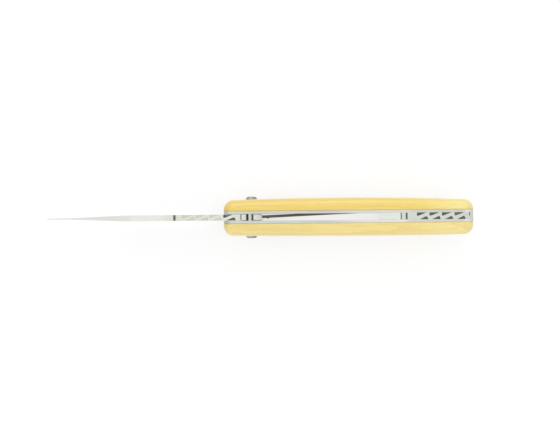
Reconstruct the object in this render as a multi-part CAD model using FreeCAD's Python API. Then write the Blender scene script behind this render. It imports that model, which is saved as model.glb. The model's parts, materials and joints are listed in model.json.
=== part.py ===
"""Folding pocket knife with a liner lock, boxwood scales and filed steel, open and locked.

Every sub-part is one STEP file in parts/. The knife stands on the belly of its handle:
  X  along the knife, tip towards -X, butt towards +X
  Y  through the thickness, lock side towards +Y
  Z  up, from the belly to the back
Inside this script the knife is drawn about its pivot with (x, h, z), where h is the height above
the pivot and z the distance from the middle plane towards the lock side. At export it is moved
so that the origin lies at the bottom centre of its bounding box.
"""

import FreeCAD
import Part

import math
import os

# ---------------------------------------------------------------- driving dimensions (mm)
HANDLE_FRONT = -12.15
BUTT_END = 97.85
BLADE_TIP = -90.95

CHANNEL_HALF = 1.5
LINER_THICK = 1.2
LINER_OUT = CHANNEL_HALF + LINER_THICK
LINER_MID = CHANNEL_HALF + LINER_THICK / 2
BLADE_HALF = 1.3

# back of the handle and blade spine: one long arc
BACK_TOP = 10.7
BACK_TOP_X = 31.0
BACK_RADIUS = 1342.0

# the belly stands on two short flats, one under the pivot and one at the palm swell
BELLY_LOW = -12.0
FRONT_FLAT = (-5.0, 0.0)
REAR_FLAT = (80.0, 88.0)
WAIST = [(57.0, -9.0), (31.0, -6.4), (11.0, -9.3)]
CORNER_R = 5.0

# each scale's crown is an arc along the knife, swung about an axis below it
# thickness at the crest, place of the crest along the knife, radius of the arc
LOCK_CROWN = (5.86, 38.0, 1400.0)
PLAIN_CROWN = (5.98, 48.0, 3150.0)
CROWN_RADIUS_H = 90.0
CROWN_H = -0.8
CROWN_SWING = 32.0
CROWN_STEPS = 6
SCALE_ROUND = 4.15
SCALE_INNER_ROUND = 0.15

# pivot
PIVOT_R = 2.0
PIVOT_BORE_R = 1.25
BLADE_BORE_R = 2.03
HEAD_R = 2.5
HEAD_SEAT = 7.2
HEAD_WALL_TOP = 8.2
HEAD_SHOULDER = (2.12, 8.86)
HEAD_TOP = 9.2
HEAD_FLAT_R = 1.45
HEX_ACROSS = 2.0
HEX_DEEP = 0.9
SCREW_CLEAR = 0.03
SCREW_END = -1.0
BARREL_SHORT = 0.4
BARREL_BORE_END = -6.0
WASHER_R = 4.4
WASHER_BORE_R = 2.05

# stop pin, at the back above the pivot
STOP_R = 1.0
STOP_X = -0.55
STOP_BELOW_BACK = 0.1
STOP_CLEAR = 0.15
STOP_TOUCH = 0.01

# lock
LOCK_FACE_X = 4.75
LOCK_GAP = 0.03
LOCK_ROOT_X = 48.0
LOCK_TOP_H = -1.5
LOCK_SLOT = 0.4
LOCK_FRONT_SLOT = 0.55
LOCK_ANGLE = 2.45
KNUCKLE_GAP = 0.03
KNUCKLE_ROOM = 5.0
GRIP_COUNT = 7
GRIP_START = 8.0
GRIP_PITCH = 1.3
GRIP_R = 0.45
GRIP_BELOW_EDGE = 0.1
BALL_R = 0.75
BALL_X = 7.2
BALL_H = -4.6
BALL_PROUD = 0.35
DETENT_R = 0.62
DETENT_DEEP = 0.45

# blade
RICASSO_END = -17.0
PLUNGE_END = -20.0
RICASSO_BOTTOM = -8.6
HEEL_BOTTOM = -10.0
HEEL = (-6.2, -4.2)
CHOIL_R = 1.3
CHOIL_BEYOND = (0.4, 0.3)
SHOULDER_BEVEL = 0.75
SHOULDER_DEEP = 0.9
TANG_NOTCH = 0.5
TANG_NOTCH_OVER = 0.2
TANG_NOTCH_DEEP = 0.95
SPINE_DROP_FROM = -45.0
SPINE_DROP = 4.0
EDGE_STRAIGHT = -8.5
EDGE_BELLY_FROM = -42.0
EDGE_BELLY_POWER = 2.3
EDGE_TIP_BELOW = 0.1
EDGE_BEVEL = 0.7
EDGE_BEVEL_SHARE = 0.25
EDGE_HALF = 0.16
EDGE_THIN_BELOW = 0.6
TAPER_FROM = -54.5
TAPER_TO = -82.0
TAPER_POWER = 1.15
TIP_THICK = 0.22
NEEDLE_TAPER = 0.022
BLADE_STATIONS = 29

# nail nicks: a disc's rim sunk into each side, leaning towards the spine
NICK_X = -32.0
NICK_BELOW_SPINE = 1.7
NICK_RADIUS = 24.0
NICK_WIDTH = 1.5
NICK_DEEP = 0.6
NICK_LEAN = 24.0

# filework on blade spine and spacer: pairs of filed triangles
# each row of pairs: start, pitch, then how far the lower one lags and its length
BLADE_FILE = (-30.1, 5.98, 1.1, 4.2)
SPACER_FILE = (72.5, 5.5, 1.5, 3.3)
FILE_LENGTH = 4.1
FILE_ACROSS = 1.4
FILE_BLUNT = 0.7
FILE_HUMP = (0.2, 0.6)
FILE_BEYOND = 0.3
FILE_DEEP = 0.8
FILE_PAIRS = 4
# filed lines across the spine: place, width, depth
BLADE_LINES = [(-33.6, 1.0, 0.5), (-4.45, 0.45, 0.4)]
SPACER_LINES = [(65.6, 0.45, 0.35), (68.0, 0.75, 0.45)]
# the short line on the butt's corner: from, to, and the height of its floor
END_LINE = (95.5, 95.9, 7.8)

# rear spacer and its rivets
SPACER_FRONT = 56.0
SPACER_NOSE = (8.7, 9.2)
SPACER_RISE = (60.5, 9.6)
SPACER_FLUSH_X = 64.5
SPACER_SLOPES = (0.02, 0.3)
SPACER_UNDER = [(64.0, 7.8), (72.0, 6.2), (80.0, 4.1), (86.5, 2.3), (90.9, 1.2)]
SPACER_BEND = (91.6, 0.85)
SWEEP_R = 91.9
RIVET_R = 1.0
RIVETS = {"front": (82.0, 5.8), "rear": (93.7, -1.3)}

# short pins that hold each scale to its liner
SCALE_PIN_R = 0.9
SCALE_PINS = {"front": (22.0, 2.6), "middle": (43.0, 2.2), "rear": (64.0, 1.0)}

# thumb cut-out on the plain side
THUMB_X = 13.0
THUMB_TOP_H = -6.3
THUMB_R = 12.0

# well past any face, for cutters and blanks
FAR = 30.0
CLEAR = 2.0


# ---------------------------------------------------------------- small helpers
def at(x, h, z=0.0):
    """A point from knife coordinates."""
    return FreeCAD.Vector(x, z, h)


ALONG = FreeCAD.Vector(1, 0, 0)
THROUGH = FreeCAD.Vector(0, 1, 0)
DOWN = FreeCAD.Vector(0, 0, -1)


def line(a, b):
    return Part.LineSegment(at(*a), at(*b)).toShape()


def curve(points, start=None, end=None):
    """A smooth curve through (x, h) points, with end directions where they matter."""
    spline = Part.BSplineCurve()
    vectors = [at(*p) for p in points]
    if start is None:
        spline.interpolate(Points=vectors)
    else:
        reach = (vectors[0] - vectors[-1]).Length / (len(points) - 1)
        spline.interpolate(Points=vectors, InitialTangent=at(*start) * reach, FinalTangent=at(*end) * reach)
    return spline.toShape()


def plate(edges, low, high):
    """A flat plate with this outline, from z = low to z = high."""
    wire = Part.Wire(Part.__sortEdges__(edges))
    face = Part.Face(wire)
    face.translate(THROUGH * low)
    return face.extrude(THROUGH * (high - low))


def rod(x, h, radius, low, high):
    return Part.makeCylinder(radius, high - low, at(x, h, low), THROUGH)


def block(x0, x1, h0, h1, low, high):
    """A box between two x, two h and two z values."""
    return Part.makeBox(x1 - x0, high - low, h1 - h0, at(x0, h0, low))


def mirrored(shape):
    """The same piece on the other side of the knife's middle plane."""
    return shape.mirror(FreeCAD.Vector(0, 0, 0), THROUGH)


# ---------------------------------------------------------------- shared curves
def back_h(x):
    """Height of the handle's back and of the blade's spine near it."""
    return BACK_TOP - (x - BACK_TOP_X) ** 2 / (2 * BACK_RADIUS)


def back_slope(x):
    return -(x - BACK_TOP_X) / BACK_RADIUS


def back_curve(x0, x1):
    """The back's arc from x0 to x1."""
    points = [at(x, back_h(x)) for x in (x0, (x0 + x1) / 2, x1)]
    return Part.Arc(*points).toShape()


def spine_h(x):
    """Blade spine: follows the back, then drops to the tip."""
    u = max(0.0, (SPINE_DROP_FROM - x) / (SPINE_DROP_FROM - BLADE_TIP))
    return back_h(x) - SPINE_DROP * u * u


def edge_h(x):
    """Cutting edge: nearly straight, then a belly that rises to the tip."""
    u = max(0.0, (EDGE_BELLY_FROM - x) / (EDGE_BELLY_FROM - BLADE_TIP))
    rise = spine_h(BLADE_TIP) - EDGE_TIP_BELOW - EDGE_STRAIGHT
    return EDGE_STRAIGHT + rise * u ** EDGE_BELLY_POWER


def spine_half(x):
    """Half of the blade's thickness at its spine: full, then an even taper, then a thin needle."""
    u = min(max((x - TAPER_TO) / (TAPER_FROM - TAPER_TO), 0.0), 1.0)
    thin = TIP_THICK + NEEDLE_TAPER * (x - BLADE_TIP)
    return (thin + (2 * BLADE_HALF - thin) * u ** TAPER_POWER) / 2


def quarter(centre, reach_x, reach_h):
    """A quarter of an ellipse about (x, h). The signs of its reaches say which quarter."""
    cx, ch = centre
    side, top = at(cx + reach_x, ch), at(cx, ch + reach_h)
    if abs(reach_x) == abs(reach_h):
        lean = math.sqrt(0.5)
        return Part.Arc(side, at(cx + reach_x * lean, ch + reach_h * lean), top).toShape()
    major, minor = (side, top) if abs(reach_x) > abs(reach_h) else (top, side)
    return Part.ArcOfEllipse(Part.Ellipse(major, minor, at(cx, ch)), 0, math.pi / 2).toShape()


def waist_curve():
    """The belly between the two flats that the handle stands on, from rear to front."""
    points = [(REAR_FLAT[0], BELLY_LOW), *WAIST, (FRONT_FLAT[1], BELLY_LOW)]
    return curve(points, (-1, 0), (-1, 0))


def waist_h(x):
    """Height of the belly at x, between the flats."""
    upright = line((x, BELLY_LOW - CLEAR), (x, 0))
    return upright.distToShape(waist_curve())[1][0][0].z


def back_corner(end_x, side):
    """Round corner from the handle's end into the back, with where it meets the back and the end."""
    centre_x = end_x - side * CORNER_R
    lean = math.atan(back_slope(centre_x))
    x = centre_x - CORNER_R * math.sin(lean)
    centre_h = back_h(x) - CORNER_R * math.cos(lean)
    middle = math.pi / 2 + (lean - side * math.pi / 2) / 2
    ring = [math.pi / 2 + lean, middle, math.pi / 2 - side * math.pi / 2]
    points = [at(centre_x + CORNER_R * math.cos(a), centre_h + CORNER_R * math.sin(a)) for a in ring]
    return Part.Arc(*points).toShape(), x, centre_h


def handle_outline():
    """Closed side outline of the handle, the same for scales and liners."""
    front_corner, front_x, front_top = back_corner(HANDLE_FRONT, -1)
    rear_corner, rear_x, rear_top = back_corner(BUTT_END, 1)
    front_reach = FRONT_FLAT[0] - HANDLE_FRONT
    rear_reach = BUTT_END - REAR_FLAT[1]
    front_low = BELLY_LOW + front_reach
    return [
        front_corner,
        back_curve(front_x, rear_x),
        rear_corner,
        quarter((REAR_FLAT[1], rear_top), rear_reach, BELLY_LOW - rear_top),
        line((REAR_FLAT[1], BELLY_LOW), (REAR_FLAT[0], BELLY_LOW)),
        waist_curve(),
        line((FRONT_FLAT[1], BELLY_LOW), (FRONT_FLAT[0], BELLY_LOW)),
        quarter((FRONT_FLAT[0], front_low), -front_reach, -front_reach),
        line((HANDLE_FRONT, front_low), (HANDLE_FRONT, front_top)),
    ]


def crown_solid(crown):
    """Everything under the crowned outer surface of a scale on the lock side."""
    thick, crest_x, radius = crown
    crest_z = LINER_OUT + thick
    x0, x1 = HANDLE_FRONT - CLEAR, BUTT_END + CLEAR

    def crown_z(x):
        return crest_z - (x - crest_x) ** 2 / (2 * radius)

    top = Part.BSplineCurve()
    xs = [x0 + (x1 - x0) * i / CROWN_STEPS for i in range(CROWN_STEPS + 1)]
    top.interpolate(Points=[at(x, CROWN_H, crown_z(x)) for x in xs])
    corners = [
        at(x1, CROWN_H, crown_z(x1)),
        at(x1, CROWN_H, 0),
        at(x0, CROWN_H, 0),
        at(x0, CROWN_H, crown_z(x0)),
    ]
    sides = [Part.LineSegment(a, b).toShape() for a, b in zip(corners, corners[1:])]
    face = Part.Face(Part.Wire([top.toShape(), *sides]))
    axis = at(0, CROWN_H, crest_z - CROWN_RADIUS_H)
    face.rotate(axis, ALONG, -CROWN_SWING)
    return face.revolve(axis, ALONG, 2 * CROWN_SWING)


# ---------------------------------------------------------------- filework
def filework(row, half):
    """Cutters for the filed notches on a spine that is 2 * half wide: one from each edge, in turn."""
    start, pitch, lag, low_length = row
    inner = half - FILE_ACROSS
    out = half + FILE_BEYOND
    over = FILE_BEYOND * FILE_LENGTH / FILE_ACROSS
    hump_back, hump_in = FILE_HUMP
    cutters = []
    for i in range(FILE_PAIRS):
        x = start + i * pitch
        low = x + lag
        end = low + low_length
        floor = back_h(x + FILE_LENGTH / 2) - FILE_DEEP

        def spot(cx, cz):
            return at(cx, floor, cz)

        blunt = Part.makePolygon([
            spot(x + FILE_LENGTH + over, out),
            spot(x, out),
            spot(x, inner),
            spot(x + FILE_BLUNT, inner),
            spot(x + FILE_LENGTH + over, out),
        ])
        crest = spot(end - FILE_BLUNT, -inner)
        shoulder = spot(end - hump_back * FILE_BLUNT, -half + hump_in * FILE_ACROSS)
        hump = Part.Wire([
            Part.LineSegment(spot(low - over, -out), crest).toShape(),
            Part.Arc(crest, shoulder, spot(end, -out)).toShape(),
            Part.LineSegment(spot(end, -out), spot(low - over, -out)).toShape(),
        ])
        for wire in (blunt, hump):
            cutters.append(Part.Face(wire).extrude(at(0, FILE_DEEP + CLEAR, 0)))
    return cutters


def spine_groove(x, width, deep):
    """Cutter for one filed line across the spine."""
    return block(x - width / 2, x + width / 2, back_h(x) - deep, FAR, -FAR, FAR)


# ---------------------------------------------------------------- blade
def tang_radius():
    """The round of the tang, which passes under the stop pin as the blade turns."""
    return math.hypot(*stop_centre()) - STOP_R - STOP_CLEAR


def tang_and_ricasso():
    """Flat rear part of the blade: stop shoulders, round tang, lock face and ricasso."""
    tang_r = tang_radius()
    open_x = STOP_X - STOP_R - STOP_TOUCH
    shut_x = -(STOP_X + STOP_R) - STOP_TOUCH
    face_h = math.sqrt(tang_r ** 2 - LOCK_FACE_X ** 2)
    bevel_x = open_x - SHOULDER_BEVEL
    heel_x, heel_end = HEEL

    def on_tang(angle):
        return (tang_r * math.cos(angle), tang_r * math.sin(angle))

    top_start = (open_x, math.sqrt(tang_r ** 2 - open_x ** 2))
    low_end = (shut_x, -math.sqrt(tang_r ** 2 - shut_x ** 2))
    a0, a1 = math.atan2(top_start[1], top_start[0]), math.atan2(face_h, LOCK_FACE_X)
    b0, b1 = math.atan2(-face_h, LOCK_FACE_X), math.atan2(low_end[1], low_end[0])
    shoulder_h = back_h(open_x) - SHOULDER_DEEP
    edges = [
        back_curve(RICASSO_END, bevel_x),
        line((bevel_x, back_h(bevel_x)), (open_x, shoulder_h)),
        line((open_x, shoulder_h), top_start),
        Part.Arc(at(*top_start), at(*on_tang((a0 + a1) / 2)), at(LOCK_FACE_X, face_h)).toShape(),
        line((LOCK_FACE_X, face_h), (LOCK_FACE_X, -face_h)),
        Part.Arc(at(LOCK_FACE_X, -face_h), at(*on_tang((b0 + b1) / 2)), at(*low_end)).toShape(),
        line(low_end, (shut_x, HEEL_BOTTOM)),
        line((shut_x, HEEL_BOTTOM), (heel_end, HEEL_BOTTOM)),
        line((heel_end, HEEL_BOTTOM), (heel_x, RICASSO_BOTTOM)),
        line((heel_x, RICASSO_BOTTOM), (RICASSO_END, RICASSO_BOTTOM)),
        line((RICASSO_END, RICASSO_BOTTOM), (RICASSO_END, back_h(RICASSO_END))),
    ]
    return plate(edges, -BLADE_HALF, BLADE_HALF)


def blade_section(x):
    """Wedge-shaped section of the ground blade: flat spine, flat sides, small edge bevel."""
    half = spine_half(x)
    tall = spine_h(x) - edge_h(x)
    bevel = min(EDGE_BEVEL, EDGE_BEVEL_SHARE * tall)
    shoulder = EDGE_HALF * min(1.0, half / EDGE_THIN_BELOW)
    ring = [
        at(x, spine_h(x), half),
        at(x, spine_h(x), -half),
        at(x, edge_h(x) + bevel, -shoulder),
        at(x, edge_h(x), 0),
        at(x, edge_h(x) + bevel, shoulder),
    ]
    return Part.makePolygon([*ring, ring[0]])


def blade():
    full = [
        at(RICASSO_END, back_h(RICASSO_END), BLADE_HALF),
        at(RICASSO_END, back_h(RICASSO_END), -BLADE_HALF),
        at(RICASSO_END, RICASSO_BOTTOM, -BLADE_HALF),
        at(RICASSO_END, RICASSO_BOTTOM, 0),
        at(RICASSO_END, RICASSO_BOTTOM, BLADE_HALF),
    ]
    plunge = Part.makeLoft([Part.makePolygon([*full, full[0]]), blade_section(PLUNGE_END)], True, True)
    step = (PLUNGE_END - BLADE_TIP) / (BLADE_STATIONS - 1)
    stations = [PLUNGE_END - i * step for i in range(BLADE_STATIONS)]
    ground = Part.makeLoft([blade_section(x) for x in stations], True, True)
    solid = tang_and_ricasso().fuse([plunge, ground])
    choil_back, choil_below = CHOIL_BEYOND
    notch_from = STOP_X + STOP_R - TANG_NOTCH_OVER
    notch_to = STOP_X + STOP_R + TANG_NOTCH
    cutters = [
        rod(0, 0, BLADE_BORE_R, -FAR, FAR),
        rod(-BALL_X, -BALL_H, DETENT_R, BLADE_HALF - DETENT_DEEP, FAR),
        rod(RICASSO_END - choil_back, RICASSO_BOTTOM - choil_below, CHOIL_R, -FAR, FAR),
        *[spine_groove(*filed) for filed in BLADE_LINES],
        block(notch_from, notch_to, tang_radius() - TANG_NOTCH_DEEP, FAR, -FAR, FAR),
        *filework(BLADE_FILE, BLADE_HALF),
        *nail_nicks(),
    ]
    return solid.cut(cutters)


def nail_nicks():
    """Crescent grooves for the thumbnail, one on each side near the spine."""
    h = spine_h(NICK_X) - NICK_BELOW_SPINE
    found = []
    for side in (1, -1):
        disc = Part.makeCylinder(NICK_RADIUS, NICK_WIDTH, at(NICK_X, h + NICK_WIDTH / 2, 0), DOWN)
        disc.translate(THROUGH * side * (BLADE_HALF - NICK_DEEP + NICK_RADIUS))
        disc.rotate(at(NICK_X, h, side * BLADE_HALF), ALONG, side * NICK_LEAN)
        found.append(disc)
    return found


# ---------------------------------------------------------------- handle plates
def rivet_holes(low, high):
    return [rod(x, h, RIVET_R, low, high) for x, h in RIVETS.values()]


def scale_pin_holes():
    return [rod(x, h, SCALE_PIN_R, 0, FAR) for x, h in SCALE_PINS.values()]


def stop_centre():
    return STOP_X, back_h(STOP_X) - STOP_BELOW_BACK - STOP_R


def liner_blank():
    """A liner on the lock side, with its bores, before the lock is cut."""
    solid = plate(handle_outline(), CHANNEL_HALF, LINER_OUT)
    holes = [rod(0, 0, PIVOT_R, 0, FAR), rod(*stop_centre(), STOP_R, 0, FAR)]
    return solid.cut([*holes, *rivet_holes(0, FAR), *scale_pin_holes()])


def edges_at(solid, z):
    """The edges that lie flat at this z level."""
    boxes = [(edge, edge.BoundBox) for edge in solid.Edges]
    return [edge for edge, box in boxes if box.YLength < 1e-4 and abs(box.YMin - z) < 1e-4]


def lock_liner():
    """The lock-side liner, with the window that the lock bar fills."""
    window = block(LOCK_FACE_X - LOCK_FRONT_SLOT, LOCK_ROOT_X, -FAR, LOCK_TOP_H + LOCK_SLOT, 0, FAR)
    groove_r = LINER_THICK / 2 + KNUCKLE_GAP
    groove = Part.makeCylinder(groove_r, FAR, at(LOCK_ROOT_X, LOCK_TOP_H + LOCK_SLOT, LINER_MID), DOWN)
    return liner_blank().cut([window, groove])


def lock_bar_flat():
    """The lock bar in the liner's plane, as when it is pushed aside."""
    front = LOCK_FACE_X + LOCK_GAP
    blank = plate(handle_outline(), CHANNEL_HALF, LINER_OUT)
    window = block(front, LOCK_ROOT_X, -FAR, LOCK_TOP_H, 0, FAR)
    below = block(front, LOCK_ROOT_X + KNUCKLE_ROOM, -FAR, LOCK_TOP_H, 0, FAR)
    knuckle = Part.makeCylinder(LINER_THICK / 2, FAR, at(LOCK_ROOT_X, LOCK_TOP_H, LINER_MID), DOWN)
    body = blank.common(window).fuse(blank.common(below).common(knuckle))
    teeth = []
    for i in range(GRIP_COUNT):
        x = GRIP_START + i * GRIP_PITCH
        teeth.append(rod(x, waist_h(x) - GRIP_BELOW_EDGE, GRIP_R, 0, FAR))
    return body.cut([*teeth, ball_flat()]).removeSplitter()


def ball_flat():
    centre_z = CHANNEL_HALF - BALL_PROUD + BALL_R
    return Part.makeSphere(BALL_R, at(BALL_X, BALL_H, centre_z))


def sprung_in(shape):
    """Turns a lock piece about the bar's root, from the liner's plane to the locked position."""
    turned = shape.copy()
    turned.rotate(at(LOCK_ROOT_X, 0, LINER_MID), DOWN, -LOCK_ANGLE)
    return turned


def thumb_cut(low, high):
    """Scallop in the plain side's belly, where the thumb reaches the lock bar."""
    return rod(THUMB_X, THUMB_TOP_H - THUMB_R, THUMB_R, low, high)


def plain_liner():
    return mirrored(liner_blank()).cut(thumb_cut(-FAR, 0))


def scale_blank(crown):
    """A scale on the lock side with its crown and rounded edge, before any hole."""
    tall = plate(handle_outline(), LINER_OUT, LINER_OUT + crown[0] + CLEAR)
    solid = tall.common(crown_solid(crown)).Solids[0]
    outer = [e for e in solid.Edges if e.BoundBox.YMin > LINER_OUT + CLEAR]
    rounded = solid.makeFillet(SCALE_ROUND, outer)
    return rounded.makeFillet(SCALE_INNER_ROUND, edges_at(rounded, LINER_OUT))


def drilled_scale(blank):
    holes = [rod(0, 0, PIVOT_R, 0, FAR), rod(0, 0, HEAD_R, HEAD_SEAT, FAR)]
    return blank.cut([*holes, *rivet_holes(0, FAR), *scale_pin_holes()])


# ---------------------------------------------------------------- spacer and fasteners
def back_spacer():
    """Rear spacer: a thin arm along the back, and a block that clears the sweep of the blade's tip."""
    half = CHANNEL_HALF
    nose_low, nose_top = SPACER_NOSE
    top, bottom, rear = BACK_TOP + CLEAR, BELLY_LOW - CLEAR, BUTT_END + CLEAR
    nose_slope, flush_slope = SPACER_SLOPES
    under = [(SPACER_FRONT, nose_low), *SPACER_UNDER]
    flush = (SPACER_FLUSH_X, back_h(SPACER_FLUSH_X))

    def on_sweep(h):
        return (math.sqrt(SWEEP_R ** 2 - h ** 2), h)

    arm = [
        line((SPACER_FRONT, nose_low), (SPACER_FRONT, nose_top)),
        curve([(SPACER_FRONT, nose_top), SPACER_RISE, flush], (1, nose_slope), (1, flush_slope)),
        line(flush, (SPACER_FLUSH_X, top)),
        line((SPACER_FLUSH_X, top), (rear, top)),
        line((rear, top), (rear, bottom)),
        line((rear, bottom), on_sweep(bottom)),
        Part.Arc(at(*on_sweep(bottom)), at(*on_sweep(bottom / 2)), at(*on_sweep(0))).toShape(),
        Part.Arc(at(*on_sweep(0)), at(*SPACER_BEND), at(*under[-1])).toShape(),
        curve(under),
    ]
    blank = plate(handle_outline(), -half, half)
    solid = plate(arm, -half, half).common(blank)
    cutters = [
        *[spine_groove(*filed) for filed in SPACER_LINES],
        block(END_LINE[0], END_LINE[1], END_LINE[2], FAR, 0, FAR),
        *filework(SPACER_FILE, half),
        *rivet_holes(-FAR, FAR),
    ]
    return solid.cut(cutters)


def button_head():
    """Domed screw head on the lock side, with a hex socket."""
    profile = [
        Part.LineSegment(at(0, 0, HEAD_SEAT), at(HEAD_R, 0, HEAD_SEAT)).toShape(),
        Part.LineSegment(at(HEAD_R, 0, HEAD_SEAT), at(HEAD_R, 0, HEAD_WALL_TOP)).toShape(),
        Part.Arc(
            at(HEAD_R, 0, HEAD_WALL_TOP),
            at(HEAD_SHOULDER[0], 0, HEAD_SHOULDER[1]),
            at(HEAD_FLAT_R, 0, HEAD_TOP),
        ).toShape(),
        Part.LineSegment(at(HEAD_FLAT_R, 0, HEAD_TOP), at(0, 0, HEAD_TOP)).toShape(),
        Part.LineSegment(at(0, 0, HEAD_TOP), at(0, 0, HEAD_SEAT)).toShape(),
    ]
    head = Part.Face(Part.Wire(profile)).revolve(at(0, 0, 0), THROUGH, 360)
    corner = HEX_ACROSS / math.sqrt(3)
    turns = [math.pi / 3 * i for i in range(6)]
    ring = [at(corner * math.cos(a), corner * math.sin(a), HEAD_TOP - HEX_DEEP) for a in turns]
    socket = Part.Face(Part.makePolygon([*ring, ring[0]])).extrude(THROUGH * CLEAR)
    return head.cut(socket)


def pivot_screw():
    shank = rod(0, 0, PIVOT_BORE_R - SCREW_CLEAR, SCREW_END, HEAD_SEAT)
    return button_head().fuse(shank).removeSplitter()


def pivot_barrel():
    sleeve = rod(0, 0, PIVOT_R, -HEAD_SEAT, HEAD_SEAT - BARREL_SHORT)
    bore = rod(0, 0, PIVOT_BORE_R, BARREL_BORE_END, FAR)
    return mirrored(button_head()).fuse(sleeve).cut(bore).removeSplitter()


def washer():
    ring = rod(0, 0, WASHER_R, BLADE_HALF, CHANNEL_HALF)
    return ring.cut(rod(0, 0, WASHER_BORE_R, 0, FAR))


def rivet(x, h, lock_blank, plain_blank):
    """Flush rivet through both scales, both liners and the spacer."""
    end = rod(x, h, RIVET_R, LINER_OUT, FAR)
    core = rod(x, h, RIVET_R, -LINER_OUT, LINER_OUT)
    return core.fuse([end.common(lock_blank), mirrored(end.common(plain_blank))]).removeSplitter()


def scale_pin(x, h, blank):
    """Short pin through one scale and its liner, flush at both ends."""
    end = rod(x, h, SCALE_PIN_R, LINER_OUT, FAR).common(blank)
    return rod(x, h, SCALE_PIN_R, CHANNEL_HALF, LINER_OUT).fuse(end).removeSplitter()


# ---------------------------------------------------------------- assembly
def main():
    lock_blank = scale_blank(LOCK_CROWN)
    plain_blank = scale_blank(PLAIN_CROWN)
    parts = {
        "blade": blade(),
        "lock_liner": lock_liner(),
        "lock_bar": sprung_in(lock_bar_flat()),
        "detent_ball": sprung_in(ball_flat()),
        "plain_liner": plain_liner(),
        "lock_side_scale": drilled_scale(lock_blank),
        "plain_side_scale": mirrored(drilled_scale(plain_blank)).cut(thumb_cut(-FAR, 0)),
        "back_spacer": back_spacer(),
        "pivot_screw": pivot_screw(),
        "pivot_barrel": pivot_barrel(),
        "lock_side_washer": washer(),
        "plain_side_washer": mirrored(washer()),
        "stop_pin": rod(*stop_centre(), STOP_R, -LINER_OUT, LINER_OUT),
    }
    for place, (x, h) in RIVETS.items():
        parts[f"spacer_rivet_{place}"] = rivet(x, h, lock_blank, plain_blank)
    for place, (x, h) in SCALE_PINS.items():
        parts[f"lock_scale_pin_{place}"] = scale_pin(x, h, lock_blank)
        parts[f"plain_scale_pin_{place}"] = mirrored(scale_pin(x, h, plain_blank))

    origin = at((BLADE_TIP + BUTT_END) / 2, BELLY_LOW)
    os.makedirs("parts", exist_ok=True)
    for name, shape in parts.items():
        solids = shape.Solids
        placed = solids[0].copy() if len(solids) == 1 else Part.makeCompound(solids)
        placed.translate(origin * -1)
        placed.exportStep(os.path.join("parts", name + ".step"))
        print(name, len(solids), "solid", placed.isValid(), round(placed.Volume, 2), "mm3")
    print("pivot axis at", at(0, 0) - origin)
    print("lock root at", at(LOCK_ROOT_X, 0, LINER_MID) - origin)


if __name__ == "__main__":
    main()
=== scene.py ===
import json
import math

import bpy
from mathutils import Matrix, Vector


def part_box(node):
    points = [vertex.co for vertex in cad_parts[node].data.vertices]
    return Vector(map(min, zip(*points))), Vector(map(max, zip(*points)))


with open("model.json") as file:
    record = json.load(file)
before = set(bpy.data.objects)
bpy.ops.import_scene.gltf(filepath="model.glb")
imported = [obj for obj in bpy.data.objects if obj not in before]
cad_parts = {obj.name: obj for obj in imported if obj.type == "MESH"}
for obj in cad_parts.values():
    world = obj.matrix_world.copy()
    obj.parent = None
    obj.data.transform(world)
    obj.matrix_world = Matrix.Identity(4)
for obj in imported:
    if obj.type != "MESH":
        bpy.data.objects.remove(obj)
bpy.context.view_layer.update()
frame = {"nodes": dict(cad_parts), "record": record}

MM = 0.001

# ---------------------------------------------------------------- places, from the frame
JOINTS = {j["name"]: j for j in frame["record"]["behaviour"]["joints"]}
PIVOT = Vector(JOINTS["blade_fold"]["pos_m"])
HANDLE_LOW, HANDLE_HIGH = (Vector(c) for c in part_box("lock_side_scale"))
SEAM_Y = HANDLE_LOW.y  # each scale's inner face, on either side of the middle

# the arc of the knife's back and its round rear corner, which the filed notches are cut down from
BACK_RADIUS = 1342.0 * MM
BACK_CREST = Vector((PIVOT.x + 31.0 * MM, 0.0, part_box("lock_liner")[1][2]))
CORNER_RADIUS = 5.0 * MM
CORNER_X = HANDLE_HIGH.x - CORNER_RADIUS
TIP_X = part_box("blade")[0][0]
SPACER_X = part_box("back_spacer")[0][0]  # the spacer's front end


def along_blade(share):
    """The place that is this share of the way from the pivot to the tip."""
    return PIVOT.x + share * (TIP_X - PIVOT.x)


def along_handle(share):
    """The place that is this share of the way from the handle's front end to its butt."""
    return HANDLE_LOW.x + share * (HANDLE_HIGH.x - HANDLE_LOW.x)


def along_spacer(share):
    """The place that is this share of the way from the spacer's front end to the butt."""
    return SPACER_X + share * (HANDLE_HIGH.x - SPACER_X)


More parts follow.
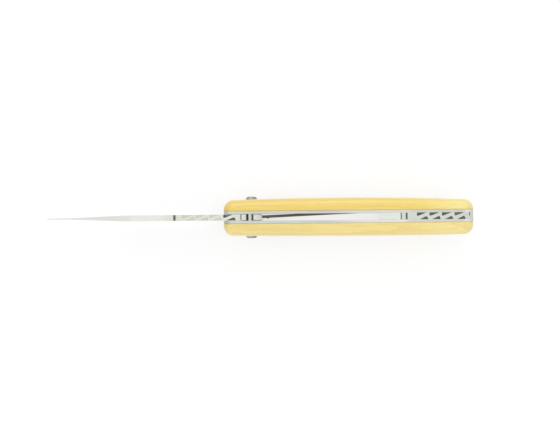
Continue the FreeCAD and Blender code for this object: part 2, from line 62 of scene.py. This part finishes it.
# ---------------------------------------------------------------- node helpers
class Graph:
    """A material's node tree, with short ways to add and join its nodes."""

    def __init__(self, name):
        self.material = bpy.data.materials.new(name)
        self.material.use_nodes = True
        self.tree = self.material.node_tree
        self.shader = self.tree.nodes["Principled BSDF"]
        coordinates = self.tree.nodes.new("ShaderNodeTexCoord")
        self.place = coordinates.outputs["Object"]
        self.normal = coordinates.outputs["Normal"]

    def put(self, value, socket):
        """Joins an output to a socket, or sets a plain value on it."""
        if isinstance(value, bpy.types.NodeSocket):
            self.tree.links.new(value, socket)
        else:
            socket.default_value = value

    def math(self, operation, a, b=0.0):
        node = self.tree.nodes.new("ShaderNodeMath")
        node.operation = operation
        self.put(a, node.inputs[0])
        self.put(b, node.inputs[1])
        return node.outputs[0]

    def scaled(self, scale, shift=(0, 0, 0)):
        """The object's own coordinates, scaled and shifted."""
        node = self.tree.nodes.new("ShaderNodeMapping")
        node.inputs["Location"].default_value = shift
        node.inputs["Scale"].default_value = scale
        self.put(self.place, node.inputs["Vector"])
        return node.outputs[0]

    def noise(self, vector, detail, rough=0.5):
        """Soft noise about 0.5. Detail is how many finer octaves it has, rough how strong they are."""
        node = self.tree.nodes.new("ShaderNodeTexNoise")
        self.put(vector, node.inputs["Vector"])
        node.inputs["Scale"].default_value = 1.0
        node.inputs["Detail"].default_value = detail
        node.inputs["Roughness"].default_value = rough
        return node.outputs["Fac"]

    def spread(self, value, low, high, to_low=0.0, to_high=1.0, smooth=True):
        """Maps low..high to to_low..to_high, held at both ends."""
        node = self.tree.nodes.new("ShaderNodeMapRange")
        node.interpolation_type = "SMOOTHSTEP" if smooth else "LINEAR"
        self.put(value, node.inputs["Value"])
        node.inputs["From Min"].default_value = low
        node.inputs["From Max"].default_value = high
        node.inputs["To Min"].default_value = to_low
        node.inputs["To Max"].default_value = to_high
        return node.outputs["Result"]

    def axes(self, vector=None):
        """The x, y and z of a vector, or of the place on the object."""
        node = self.tree.nodes.new("ShaderNodeSeparateXYZ")
        self.put(vector or self.place, node.inputs[0])
        return node.outputs

    def mix(self, share, a, b):
        """Colour a where share is 0, b where it is 1."""
        node = self.tree.nodes.new("ShaderNodeMix")
        node.data_type = "RGBA"
        self.put(share, node.inputs["Factor"])
        self.put(a if isinstance(a, bpy.types.NodeSocket) else (*a, 1), node.inputs[6])
        self.put(b if isinstance(b, bpy.types.NodeSocket) else (*b, 1), node.inputs[7])
        return node.outputs[2]

    def bump(self, height, strength, distance):
        node = self.tree.nodes.new("ShaderNodeBump")
        node.inputs["Strength"].default_value = strength
        node.inputs["Distance"].default_value = distance
        self.put(height, node.inputs["Height"])
        self.put(node.outputs[0], self.shader.inputs["Normal"])

    def set(self, **sockets):
        """Sets or joins the shader's sockets. An underscore stands for a space."""
        for name, value in sockets.items():
            self.put(value, self.shader.inputs[name.replace("_", " ")])


def squared(g, value):
    return g.math("MULTIPLY", value, value)


def distance(g, a, middle_a, b, middle_b):
    """How far a point lies from a line along the third axis, through two middles."""
    da = g.math("SUBTRACT", a, middle_a)
    db = g.math("SUBTRACT", b, middle_b)
    return g.math("POWER", g.math("ADD", squared(g, da), squared(g, db)), 0.5)


# ---------------------------------------------------------------- wood
# front, rear, butt and palest streak of each scale
WOOD_LOCK = ((0.534, 0.371, 0.06), (0.58, 0.439, 0.087), (0.62, 0.545, 0.21), (0.585, 0.456, 0.119))
# the plain scale's tones are its own paler wood with painted light on top, lifted to make up for the
# shade on its side, away from the key lamp
WOOD_PLAIN_AND_PAINTED_LIGHT = ((0.55, 0.447, 0.15), (0.585, 0.47, 0.162), (0.62, 0.535, 0.22), (0.61, 0.505, 0.188))
BUTT_LENGTH = 30.0 * MM
LATE_WOOD = (0.47, 0.30, 0.075)
DARK_FIBRE = (0.43, 0.27, 0.075)
PORE_TONE = (0.26, 0.145, 0.04)

# the tree's heart, the gap between its rings, and how far the rings wander in long and short waves
HEART_Y, HEART_Z = 42.0 * MM, -55.0 * MM
HEART_SHIFT = 2.0 * MM
RING_GAP = 1.35 * MM
SWAY, RIPPLE = 7.5 * MM, 0.7 * MM

# the thin shadow where a scale meets its liner
SEAM_TONE = (0.21, 0.175, 0.075)
SEAM_SHARE = 0.7
SEAM_FADE = 0.38 * MM

GRAIN_DEPTH = 0.04 * MM


def boxwood(name, shift, tones):
    """Pale yellow close-grained wood, with growth rings, fine fibres, short pores and an oiled shine."""
    g = Graph(name)
    x, y, z = g.axes()
    sway = g.noise(g.scaled((11, 90, 90), shift), detail=3.0)
    ripple = g.noise(g.scaled((45, 260, 260), shift), detail=3.0)
    from_heart = distance(g, y, HEART_Y, z, HEART_Z + shift[1] * HEART_SHIFT)
    bent = g.math("ADD", from_heart, g.math("MULTIPLY", sway, SWAY))
    bent = g.math("ADD", bent, g.math("MULTIPLY", ripple, RIPPLE))
    across_ring = g.math("FRACT", g.math("DIVIDE", bent, RING_GAP))
    late = g.math("POWER", across_ring, 2.6)
    fibre = g.noise(g.scaled((85, 3600, 3600), shift), detail=6.0, rough=0.62)
    figure = g.noise(g.scaled((24, 150, 150), shift), detail=4.0, rough=0.55)
    dash = g.noise(g.scaled((520, 6200, 6200), shift), detail=2.0, rough=0.4)
    pore = g.spread(dash, 0.66, 0.74)
    front, rear, butt, pale = tones
    butt_x = HANDLE_HIGH.x - BUTT_LENGTH
    warm = g.mix(g.spread(x, HANDLE_LOW.x, butt_x, smooth=False), front, rear)
    warm = g.mix(g.spread(x, butt_x, HANDLE_HIGH.x), warm, butt)
    body = g.mix(g.spread(figure, 0.35, 0.68, 0.0, 0.55), warm, pale)
    ringed = g.mix(g.math("MULTIPLY", late, 0.32), body, LATE_WOOD)
    lined = g.mix(g.spread(fibre, 0.42, 0.70, 0.0, 0.30), ringed, DARK_FIBRE)
    pored = g.mix(g.math("MULTIPLY", pore, 0.45), lined, PORE_TONE)
    seam = g.spread(g.math("ABSOLUTE", y), SEAM_Y, SEAM_Y + SEAM_FADE, SEAM_SHARE, 0.0)
    g.set(Base_Color=g.mix(seam, pored, SEAM_TONE))
    g.set(Roughness=g.spread(fibre, 0.3, 0.75, 0.36, 0.52))
    g.set(Coat_Weight=0.28, Coat_Roughness=0.30, Sheen_Weight=0.34, Sheen_Roughness=0.38)
    height = g.math("SUBTRACT", g.math("MULTIPLY", fibre, 0.35), g.math("MULTIPLY", pore, 0.8))
    g.bump(height, 0.22, GRAIN_DEPTH)
    return g.material


# ---------------------------------------------------------------- metal
def between(g, value, low, high):
    """1 where a value lies between two others, 0 elsewhere."""
    return g.math("MULTIPLY", g.math("GREATER_THAN", value, low), g.math("LESS_THAN", value, high))


def depth_below_back(g, x, z):
    """How far a point lies below the knife's back."""
    sag = g.math("DIVIDE", squared(g, g.math("SUBTRACT", x, BACK_CREST.x)), 2 * BACK_RADIUS)
    past = g.math("MAXIMUM", g.math("SUBTRACT", x, CORNER_X), 0.0)
    rise = g.math("SQRT", g.math("SUBTRACT", CORNER_RADIUS ** 2, squared(g, past)))
    corner = g.math("SUBTRACT", CORNER_RADIUS, rise)
    back = g.math("SUBTRACT", g.math("SUBTRACT", BACK_CREST.z, sag), corner)
    return g.math("SUBTRACT", back, z)


def notch_share(g, half_width, spans):
    """1 inside the notches and lines filed into the back, 0 on every other face.

    Each span is where it starts and ends along the knife, the least and the greatest depth below
    the back, and how dark the shade painted on its filed faces is.
    """
    x, y, z = g.axes()
    below = depth_below_back(g, x, z)
    side = g.math("ABSOLUTE", g.math("SUBTRACT", y, PIVOT.y))
    total = 0.0
    for start, end, shallow, deep, share in spans:
        along = between(g, x, PIVOT.x + start * MM, PIVOT.x + end * MM)
        here = g.math("MULTIPLY", along, between(g, below, shallow * MM, deep * MM))
        total = g.math("ADD", g.math("MULTIPLY", here, share), total)
    return g.math("MULTIPLY", g.math("LESS_THAN", side, half_width), total)


def looks_up(g, low, high):
    """0 on faces that look up less than low, 1 on those that look up more than high."""
    return g.spread(g.axes(g.normal)[2], low, high)


def nick_share(g, start, end, least_depth):
    """1 on the hollow faces of the nail nicks, which look up and out, 0 on every other face."""
    x, y, z = g.axes()
    along = between(g, x, PIVOT.x + start * MM, PIVOT.x + end * MM)
    below = g.math("GREATER_THAN", depth_below_back(g, x, z), least_depth * MM)
    return g.math("MULTIPLY", g.math("MULTIPLY", along, below), looks_up(g, 0.2, 0.35))


# how fine the brushing is along each axis
LONG_LINES = (60, 5200, 5200)
ACROSS_LINES = (5200, 900, 60)
EVEN_GRAIN = (900, 900, 900)

# the two tones of the painted shade in the notches and lines along the back
NOTCH_SHADE_DARK, NOTCH_SHADE_PALE = (0.075, 0.085, 0.07), (0.16, 0.175, 0.15)
BRUSH_DEPTH = 0.02 * MM


def steel(name, tone, rough, lines, shift=(0, 0, 0), notches=None, painted_reflections=(), nick=None):
    """Satin steel: fine lines from the belt, faint clouds and a few long scratches.

    Each painted reflection is another tone on the faces that look up, for how they catch the light,
    with the two places along the knife between which it comes in. The nick is a painted shade tone, and
    where the nail nicks are.
    """
    g = Graph(name)
    brushed = g.noise(g.scaled(lines, shift), detail=5.0, rough=0.65)
    line_share = g.spread(brushed, 0.3, 0.72)

    def lined(bright, darkest):
        return g.mix(line_share, bright, tuple(v * darkest for v in bright))

    cloud = g.noise(g.scaled((60, 60, 60), shift), detail=3.0)
    long_lines = tuple(v * 0.35 for v in lines)
    scratch = g.spread(g.noise(g.scaled(long_lines, (3.1, 7.7, 1.3)), detail=1.0), 0.70, 0.73)
    cool = (tone[0] * 0.97, tone[1] * 1.03, tone[2] * 0.99)
    base = g.mix(g.spread(cloud, 0.4, 0.65, 0.0, 0.6), lined(tone, 0.80), cool)
    # painted reflection: lighter and darker stretches on the faces that look up
    for reflected_tone, start, end in painted_reflections:
        share = g.spread(g.axes()[0], start, end)
        share = g.math("MULTIPLY", share, looks_up(g, 0.25, 0.6))
        base = g.mix(share, base, lined(reflected_tone, 0.88))
    # painted shade on the hollow faces of the nail nicks
    if nick:
        hollow, *where = nick
        base = g.mix(nick_share(g, *where), base, lined(hollow, 0.7))
    rough_map = g.spread(brushed, 0.25, 0.75, rough * 0.8, rough * 1.25)
    # painted shade in the notches and lines along the back, with a fine grain
    if notches:
        share = notch_share(g, *notches)
        shade_grain = g.noise(g.scaled(EVEN_GRAIN), detail=3.0)
        notch_shade = g.mix(g.spread(shade_grain, 0.3, 0.7), NOTCH_SHADE_DARK, NOTCH_SHADE_PALE)
        base = g.mix(share, base, notch_shade)
        rough_map = g.math("ADD", rough_map, g.math("MULTIPLY", share, 0.25))
    g.set(Base_Color=base, Metallic=1.0, Roughness=rough_map)
    height = g.math("SUBTRACT", brushed, g.math("MULTIPLY", scratch, 0.5))
    g.bump(height, 0.10, BRUSH_DEPTH)
    return g.material


TURNING_GAP = 0.09 * MM
POLISH_DEPTH = 0.01 * MM


def polished(name, tone, rough):
    """Turned and polished metal, with faint rings about the pivot and fine wear."""
    g = Graph(name)
    x, y, z = g.axes()
    from_pivot = distance(g, x, PIVOT.x, z, PIVOT.z)
    turning = g.math("SINE", g.math("MULTIPLY", from_pivot, 2 * math.pi / TURNING_GAP))
    wear = g.noise(g.scaled((700, 700, 700)), detail=5.0, rough=0.6)
    dull = tuple(v * 0.82 for v in tone)
    g.set(Base_Color=g.mix(g.spread(wear, 0.4, 0.7), tone, dull), Metallic=1.0)
    g.set(Roughness=g.spread(wear, 0.3, 0.75, rough, rough * 2.2))
    g.bump(g.math("ADD", g.math("MULTIPLY", turning, 0.12), wear), 0.12, POLISH_DEPTH)
    return g.material


BRONZE_CLEAN, BRONZE_BROWN = (0.62, 0.40, 0.18), (0.30, 0.17, 0.07)


def bronze(name):
    """Washer bronze, turned, with brown tarnish."""
    g = Graph(name)
    tarnish = g.noise(g.scaled((500, 500, 500)), detail=5.0)
    grain = g.noise(g.scaled((2500, 2500, 2500)), detail=3.0)
    g.set(Base_Color=g.mix(g.spread(tarnish, 0.35, 0.7), BRONZE_CLEAN, BRONZE_BROWN))
    g.set(Metallic=1.0, Roughness=g.spread(tarnish, 0.3, 0.7, 0.28, 0.5))
    g.bump(grain, 0.1, POLISH_DEPTH)
    return g.material


# ---------------------------------------------------------------- the knife's materials
LINER_TONE = (0.465, 0.475, 0.435)
SPACER_TONE = (0.49, 0.50, 0.465)
BLADE_TONE = (0.55, 0.558, 0.498)
# the lock bar's very dark tone is painted shade, for the shade deep inside the handle where the bar lies
LOCK_BAR_SHADE_TONE = (0.15, 0.115, 0.09)
PIVOT_TONE = (0.27, 0.27, 0.235)
PIN_TONE = (0.47, 0.475, 0.455)
BALL_TONE = (0.58, 0.58, 0.58)

# painted reflection: another tone on the faces that look up, for how they catch the light, and between
# which two places it comes in
BLADE_PAINTED_REFLECTIONS = [
    ((0.595, 0.605, 0.56), along_blade(0.38), along_blade(0.46)),
    ((0.54, 0.555, 0.52), along_blade(0.55), along_blade(0.62)),
    ((0.40, 0.41, 0.38), along_blade(0.84), along_blade(0.97)),
]
SPACER_PAINTED_REFLECTIONS = [
    ((0.56, 0.60, 0.55), along_spacer(0.25), along_spacer(0.2)),
    ((0.60, 0.60, 0.56), along_spacer(0.91), along_spacer(0.97)),
]
LOCK_LINER_PAINTED_REFLECTIONS = [
    ((0.57, 0.54, 0.45), along_handle(0.05), along_handle(0.01)),
    ((0.53, 0.515, 0.47), along_handle(0.42), along_handle(0.56)),
    (LINER_TONE, along_handle(0.73), along_handle(0.76)),
    ((0.62, 0.615, 0.57), along_handle(0.95), along_handle(0.98)),
]
PLAIN_LINER_PAINTED_REFLECTIONS = [
    ((0.585, 0.555, 0.495), along_handle(0.37), along_handle(0.6)),
    ((0.50, 0.485, 0.435), along_handle(0.71), along_handle(0.75)),
    ((0.62, 0.60, 0.56), along_handle(0.95), along_handle(0.98)),
]

# half width, then for each filed span its start, end, least and greatest depth, and the darkness of its
# painted shade
BLADE_NOTCHES = (1.29 * MM, [
    (-34.3, -32.9, 0.15, 1.2, 1.0),
    (-30.3, -12.6, 0.25, 1.2, 0.19),
    (-12.4, -1.5, 0.2, 1.2, 1.0),
    (0.0, 1.2, 2.6, 4.6, 1.0),
])
SPACER_NOTCHES = (1.49 * MM, [(65.2, 94.6, 0.15, 1.2, 1.0), (95.3, 96.1, 0.1, 1.5, 1.0)])

# painted shade tone for the nail nicks' hollows, then the start, end and least depth below the back of
# the nail nicks
NAIL_NICK_SHADE = ((0.27, 0.275, 0.255), -38.0, -26.0, 1.0)

MATERIALS = {
    "blade": steel(
        "blade_satin", BLADE_TONE, 0.25, ACROSS_LINES,
        notches=BLADE_NOTCHES, painted_reflections=BLADE_PAINTED_REFLECTIONS, nick=NAIL_NICK_SHADE
    ),
    "back_spacer": steel(
        "spacer_satin", SPACER_TONE, 0.27, LONG_LINES, (1, 2, 3),
        notches=SPACER_NOTCHES, painted_reflections=SPACER_PAINTED_REFLECTIONS
    ),
    "lock_liner": steel(
        "liner_satin", LINER_TONE, 0.30, LONG_LINES, (4, 1, 2), painted_reflections=LOCK_LINER_PAINTED_REFLECTIONS
    ),
    "plain_liner": steel(
        "liner_satin_plain", LINER_TONE, 0.30, LONG_LINES, (9, 5, 1), painted_reflections=PLAIN_LINER_PAINTED_REFLECTIONS
    ),
    # the lock bar: steel carrying its dark painted shade
    "lock_bar": steel("lock_bar_painted_shade", LOCK_BAR_SHADE_TONE, 0.34, LONG_LINES, (2, 8, 4)),
    "lock_side_scale": boxwood("boxwood_lock_side", (0.0, 0.0, 0.0), WOOD_LOCK),
    # the plain scale, with painted light in its tones
    "plain_side_scale": boxwood("boxwood_plain_side", (3.7, 1.9, 5.3), WOOD_PLAIN_AND_PAINTED_LIGHT),
    "detent_ball": polished("ball_polish", BALL_TONE, 0.08),
}
PIVOT_STEEL = polished("pivot_polish", PIVOT_TONE, 0.24)
PIN_STEEL = steel("pin_satin", PIN_TONE, 0.30, EVEN_GRAIN)
WASHER_BRONZE = bronze("washer_bronze_turned")


def material_for(node):
    """The material of a node, by its own name or by its kind."""
    if node in MATERIALS:
        return MATERIALS[node]
    if node.startswith("pivot_"):
        return PIVOT_STEEL
    if node.endswith("_washer"):
        return WASHER_BRONZE
    return PIN_STEEL


for node_name, node_object in frame["nodes"].items():
    material = material_for(node_name)
    for place in node_object.material_slots:
        place.material = material


# ---------------------------------------------------------------- floor, light and camera
FLOOR_RADIUS, FLOOR_SIDES = 6.0, 64
FLOOR_PALE, FLOOR_DARK = (0.23, 0.23, 0.23), (0.21, 0.21, 0.21)
FLOOR_GLOW, FLOOR_GLOW_STRENGTH = (0.992, 0.996, 1.0, 1), 0.706

# the tent's brightness at its foot and from some way up
TENT_FOOT, TENT_TOP, TENT_EVEN_FROM = 1.15, 1.45, 0.8

CAMERA_DISTANCE = 0.60
VIEW_WIDTH = 0.2490
CAMERA_TURN = math.radians(-0.50)
SENSOR_WIDTH = 36.0
AIM_FROM_PIVOT = Vector((12.6, -2.37, 0.0)) * MM


def pale_floor():
    """A wide white sheet under the knife, lit from below as on a light table."""
    turns = [2 * math.pi * i / FLOOR_SIDES for i in range(FLOOR_SIDES)]
    rim = [(FLOOR_RADIUS * math.cos(a), FLOOR_RADIUS * math.sin(a), 0.0) for a in turns]
    mesh = bpy.data.meshes.new("pale_floor")
    mesh.from_pydata(rim, [], [tuple(range(FLOOR_SIDES))])
    floor = bpy.data.objects.new("pale_floor", mesh)
    bpy.context.collection.objects.link(floor)
    g = Graph("pale_sheet")
    tooth = g.noise(g.scaled(EVEN_GRAIN), detail=3.0)
    g.set(Base_Color=g.mix(tooth, FLOOR_PALE, FLOOR_DARK), Roughness=0.9, Specular_IOR_Level=0.1)
    g.set(Emission_Color=FLOOR_GLOW, Emission_Strength=FLOOR_GLOW_STRENGTH)
    floor.data.materials.append(g.material)


def soft_light(name, place, size, watts):
    """A soft rectangular lamp that faces the knife."""
    data = bpy.data.lights.new(name, "AREA")
    data.shape = "RECTANGLE"
    data.size, data.size_y = size
    data.energy = watts
    lamp = bpy.data.objects.new(name, data)
    lamp.location = place
    lamp.rotation_euler = (-Vector(place)).to_track_quat("-Z", "Y").to_euler()
    bpy.context.collection.objects.link(lamp)


def studio():
    """A white tent, darker towards its foot, and a soft low lamp on each side of the knife."""
    world = bpy.data.worlds.new("studio")
    world.use_nodes = True
    tree = world.node_tree
    background = tree.nodes["Background"]
    background.inputs["Color"].default_value = (1, 1, 1, 1)
    direction = tree.nodes.new("ShaderNodeTexCoord").outputs["Generated"]
    split = tree.nodes.new("ShaderNodeSeparateXYZ")
    tree.links.new(direction, split.inputs[0])
    fade = tree.nodes.new("ShaderNodeMapRange")
    fade.inputs["From Min"].default_value = 0.0
    fade.inputs["From Max"].default_value = TENT_EVEN_FROM
    fade.inputs["To Min"].default_value = TENT_FOOT
    fade.inputs["To Max"].default_value = TENT_TOP
    tree.links.new(split.outputs["Z"], fade.inputs["Value"])
    tree.links.new(fade.outputs["Result"], background.inputs["Strength"])
    bpy.context.scene.world = world
    soft_light("key", (-0.2, 1.15, 0.5), (1.1, 0.6), 5.8)
    soft_light("side_fill", (-0.6, -1.15, 0.28), (1.2, 0.4), 4.4)


def camera():
    """Looks straight down on the knife's back, turned half a degree to it."""
    data = bpy.data.cameras.new("camera")
    data.sensor_width = SENSOR_WIDTH
    data.lens = SENSOR_WIDTH * CAMERA_DISTANCE / VIEW_WIDTH
    data.clip_start = 0.01
    eye = bpy.data.objects.new("camera", data)
    eye.location = PIVOT + AIM_FROM_PIVOT + Vector((0, 0, CAMERA_DISTANCE))
    eye.rotation_euler = (0, 0, CAMERA_TURN)
    bpy.context.collection.objects.link(eye)
    bpy.context.scene.camera = eye


pale_floor()
studio()
camera()
bpy.context.scene.view_settings.view_transform = "Standard"
